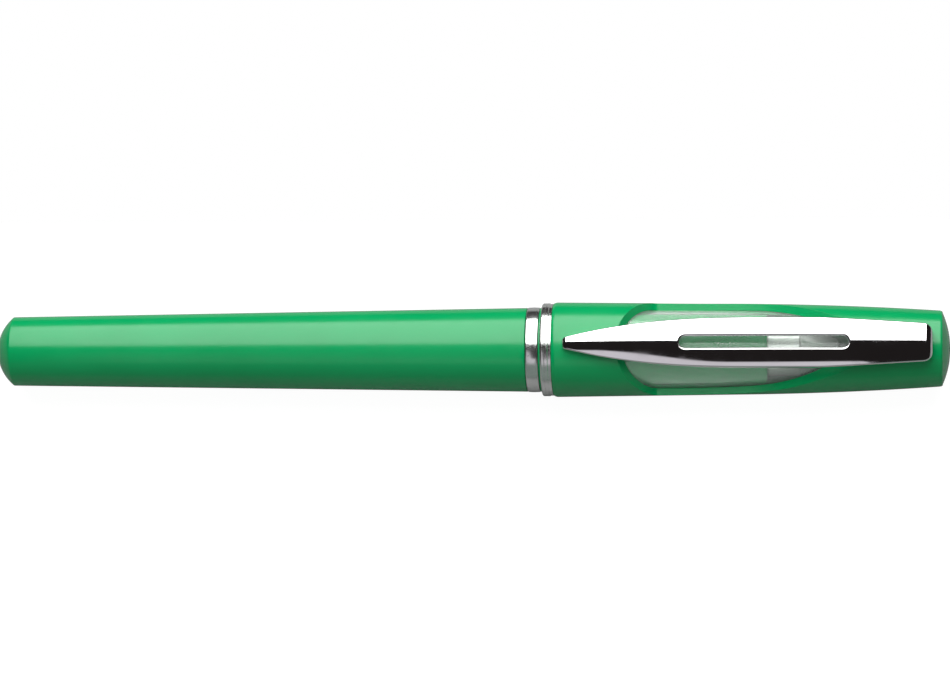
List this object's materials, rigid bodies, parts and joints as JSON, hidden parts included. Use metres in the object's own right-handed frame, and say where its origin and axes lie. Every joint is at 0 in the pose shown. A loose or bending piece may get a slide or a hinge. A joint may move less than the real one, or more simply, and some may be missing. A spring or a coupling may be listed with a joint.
{
  "type": "rollerball pen",
  "caption": "Capped green rollerball pen with a tapered barrel, chrome bands, a pierced arched clip and a scooped cap window over a clear inner cap.",
  "frame": {"origin": "on the pen's long axis, in the middle of the chrome centre band", "axes": "+X along the pen towards the closed end of the cap, +Z from the axis towards the clip"},
  "size_m": [0.1399, 0.0138, 0.0158],
  "materials": {
    "body_green": "satin moulded plastic",
    "retainer_green": "plain moulded plastic",
    "bright_chrome": "mirror-bright plating",
    "satin_chrome": "turned, slightly brushed plating",
    "nose_silver": "bright turned metal",
    "clear_plastic": "clear polished plastic",
    "soft_seal": "soft matt rubber",
    "refill_white": "gloss tube",
    "refill_black": "moulded plastic",
    "ink_fibre": "inked fibre",
    "tip_steel": "fine turned steel",
    "spring_steel": "drawn spring steel"
  },
  "bodies": {
    "grip": {"grip_section": "body_green", "nose_collar": "nose_silver", "nose_cone": "nose_silver"},
    "click": {"click_ring": "spring_steel"},
    "cap": {"cap_shell": "body_green", "inner_cap": "clear_plastic", "tip_seal": "soft_seal", "cap_ring": "satin_chrome", "clip_retainer": "retainer_green"},
    "pocket_clip": {"clip": "bright_chrome"},
    "band": {"centre_band": "satin_chrome"},
    "rear": {"barrel": "body_green", "refill_spring": "spring_steel"},
    "refill": {"refill_tube": "refill_white", "refill_plug": "refill_black", "ink_reservoir": "ink_fibre", "feed_wick": "ink_fibre", "refill_nose": "refill_black", "tip_socket": "tip_steel"},
    "ball": {"writing_ball": "tip_steel"}
  },
  "joints": [
    {"name": "cap_pull", "type": "slide", "parent": "grip", "child": "click", "axis": [1, 0, 0], "range_m": [0, 0.062]},
    {"name": "cap_turn", "type": "hinge", "parent": "click", "child": "cap", "pos_m": [0.003, 0, 0], "axis": [1, 0, 0], "continuous": true},
    {"name": "clip_flex", "type": "hinge", "parent": "cap", "child": "pocket_clip", "pos_m": [0.05799, 0, 0.0056], "axis": [0, 1, 0], "range_deg": [0, 3], "stiffness_Nm_per_rad": 2},
    {"name": "barrel_advance", "type": "slide", "parent": "grip", "child": "band", "axis": [-1, 0, 0], "range_m": [0, 0.00601], "deforming": ["refill_spring"]},
    {"name": "barrel_turn", "type": "hinge", "parent": "band", "child": "rear", "pos_m": [-0.005, 0, 0], "axis": [-1, 0, 0], "range_deg": [0, 2160]},
    {"name": "refill_float", "type": "slide", "parent": "grip", "child": "refill", "axis": [-1, 0, 0], "range_m": [0, 0.001], "stiffness_N_per_m": 300, "springref_m": -0.002, "deforming": ["refill_spring"]},
    {"name": "ball_roll", "type": "hinge", "parent": "refill", "child": "ball", "pos_m": [0.04589, 0, 0], "axis": [0, 1, 0], "continuous": true}
  ],
  "couplings": [
    {"joint": "barrel_advance", "follows": "barrel_turn", "m_per_rad": 0.00015915}
  ]
}
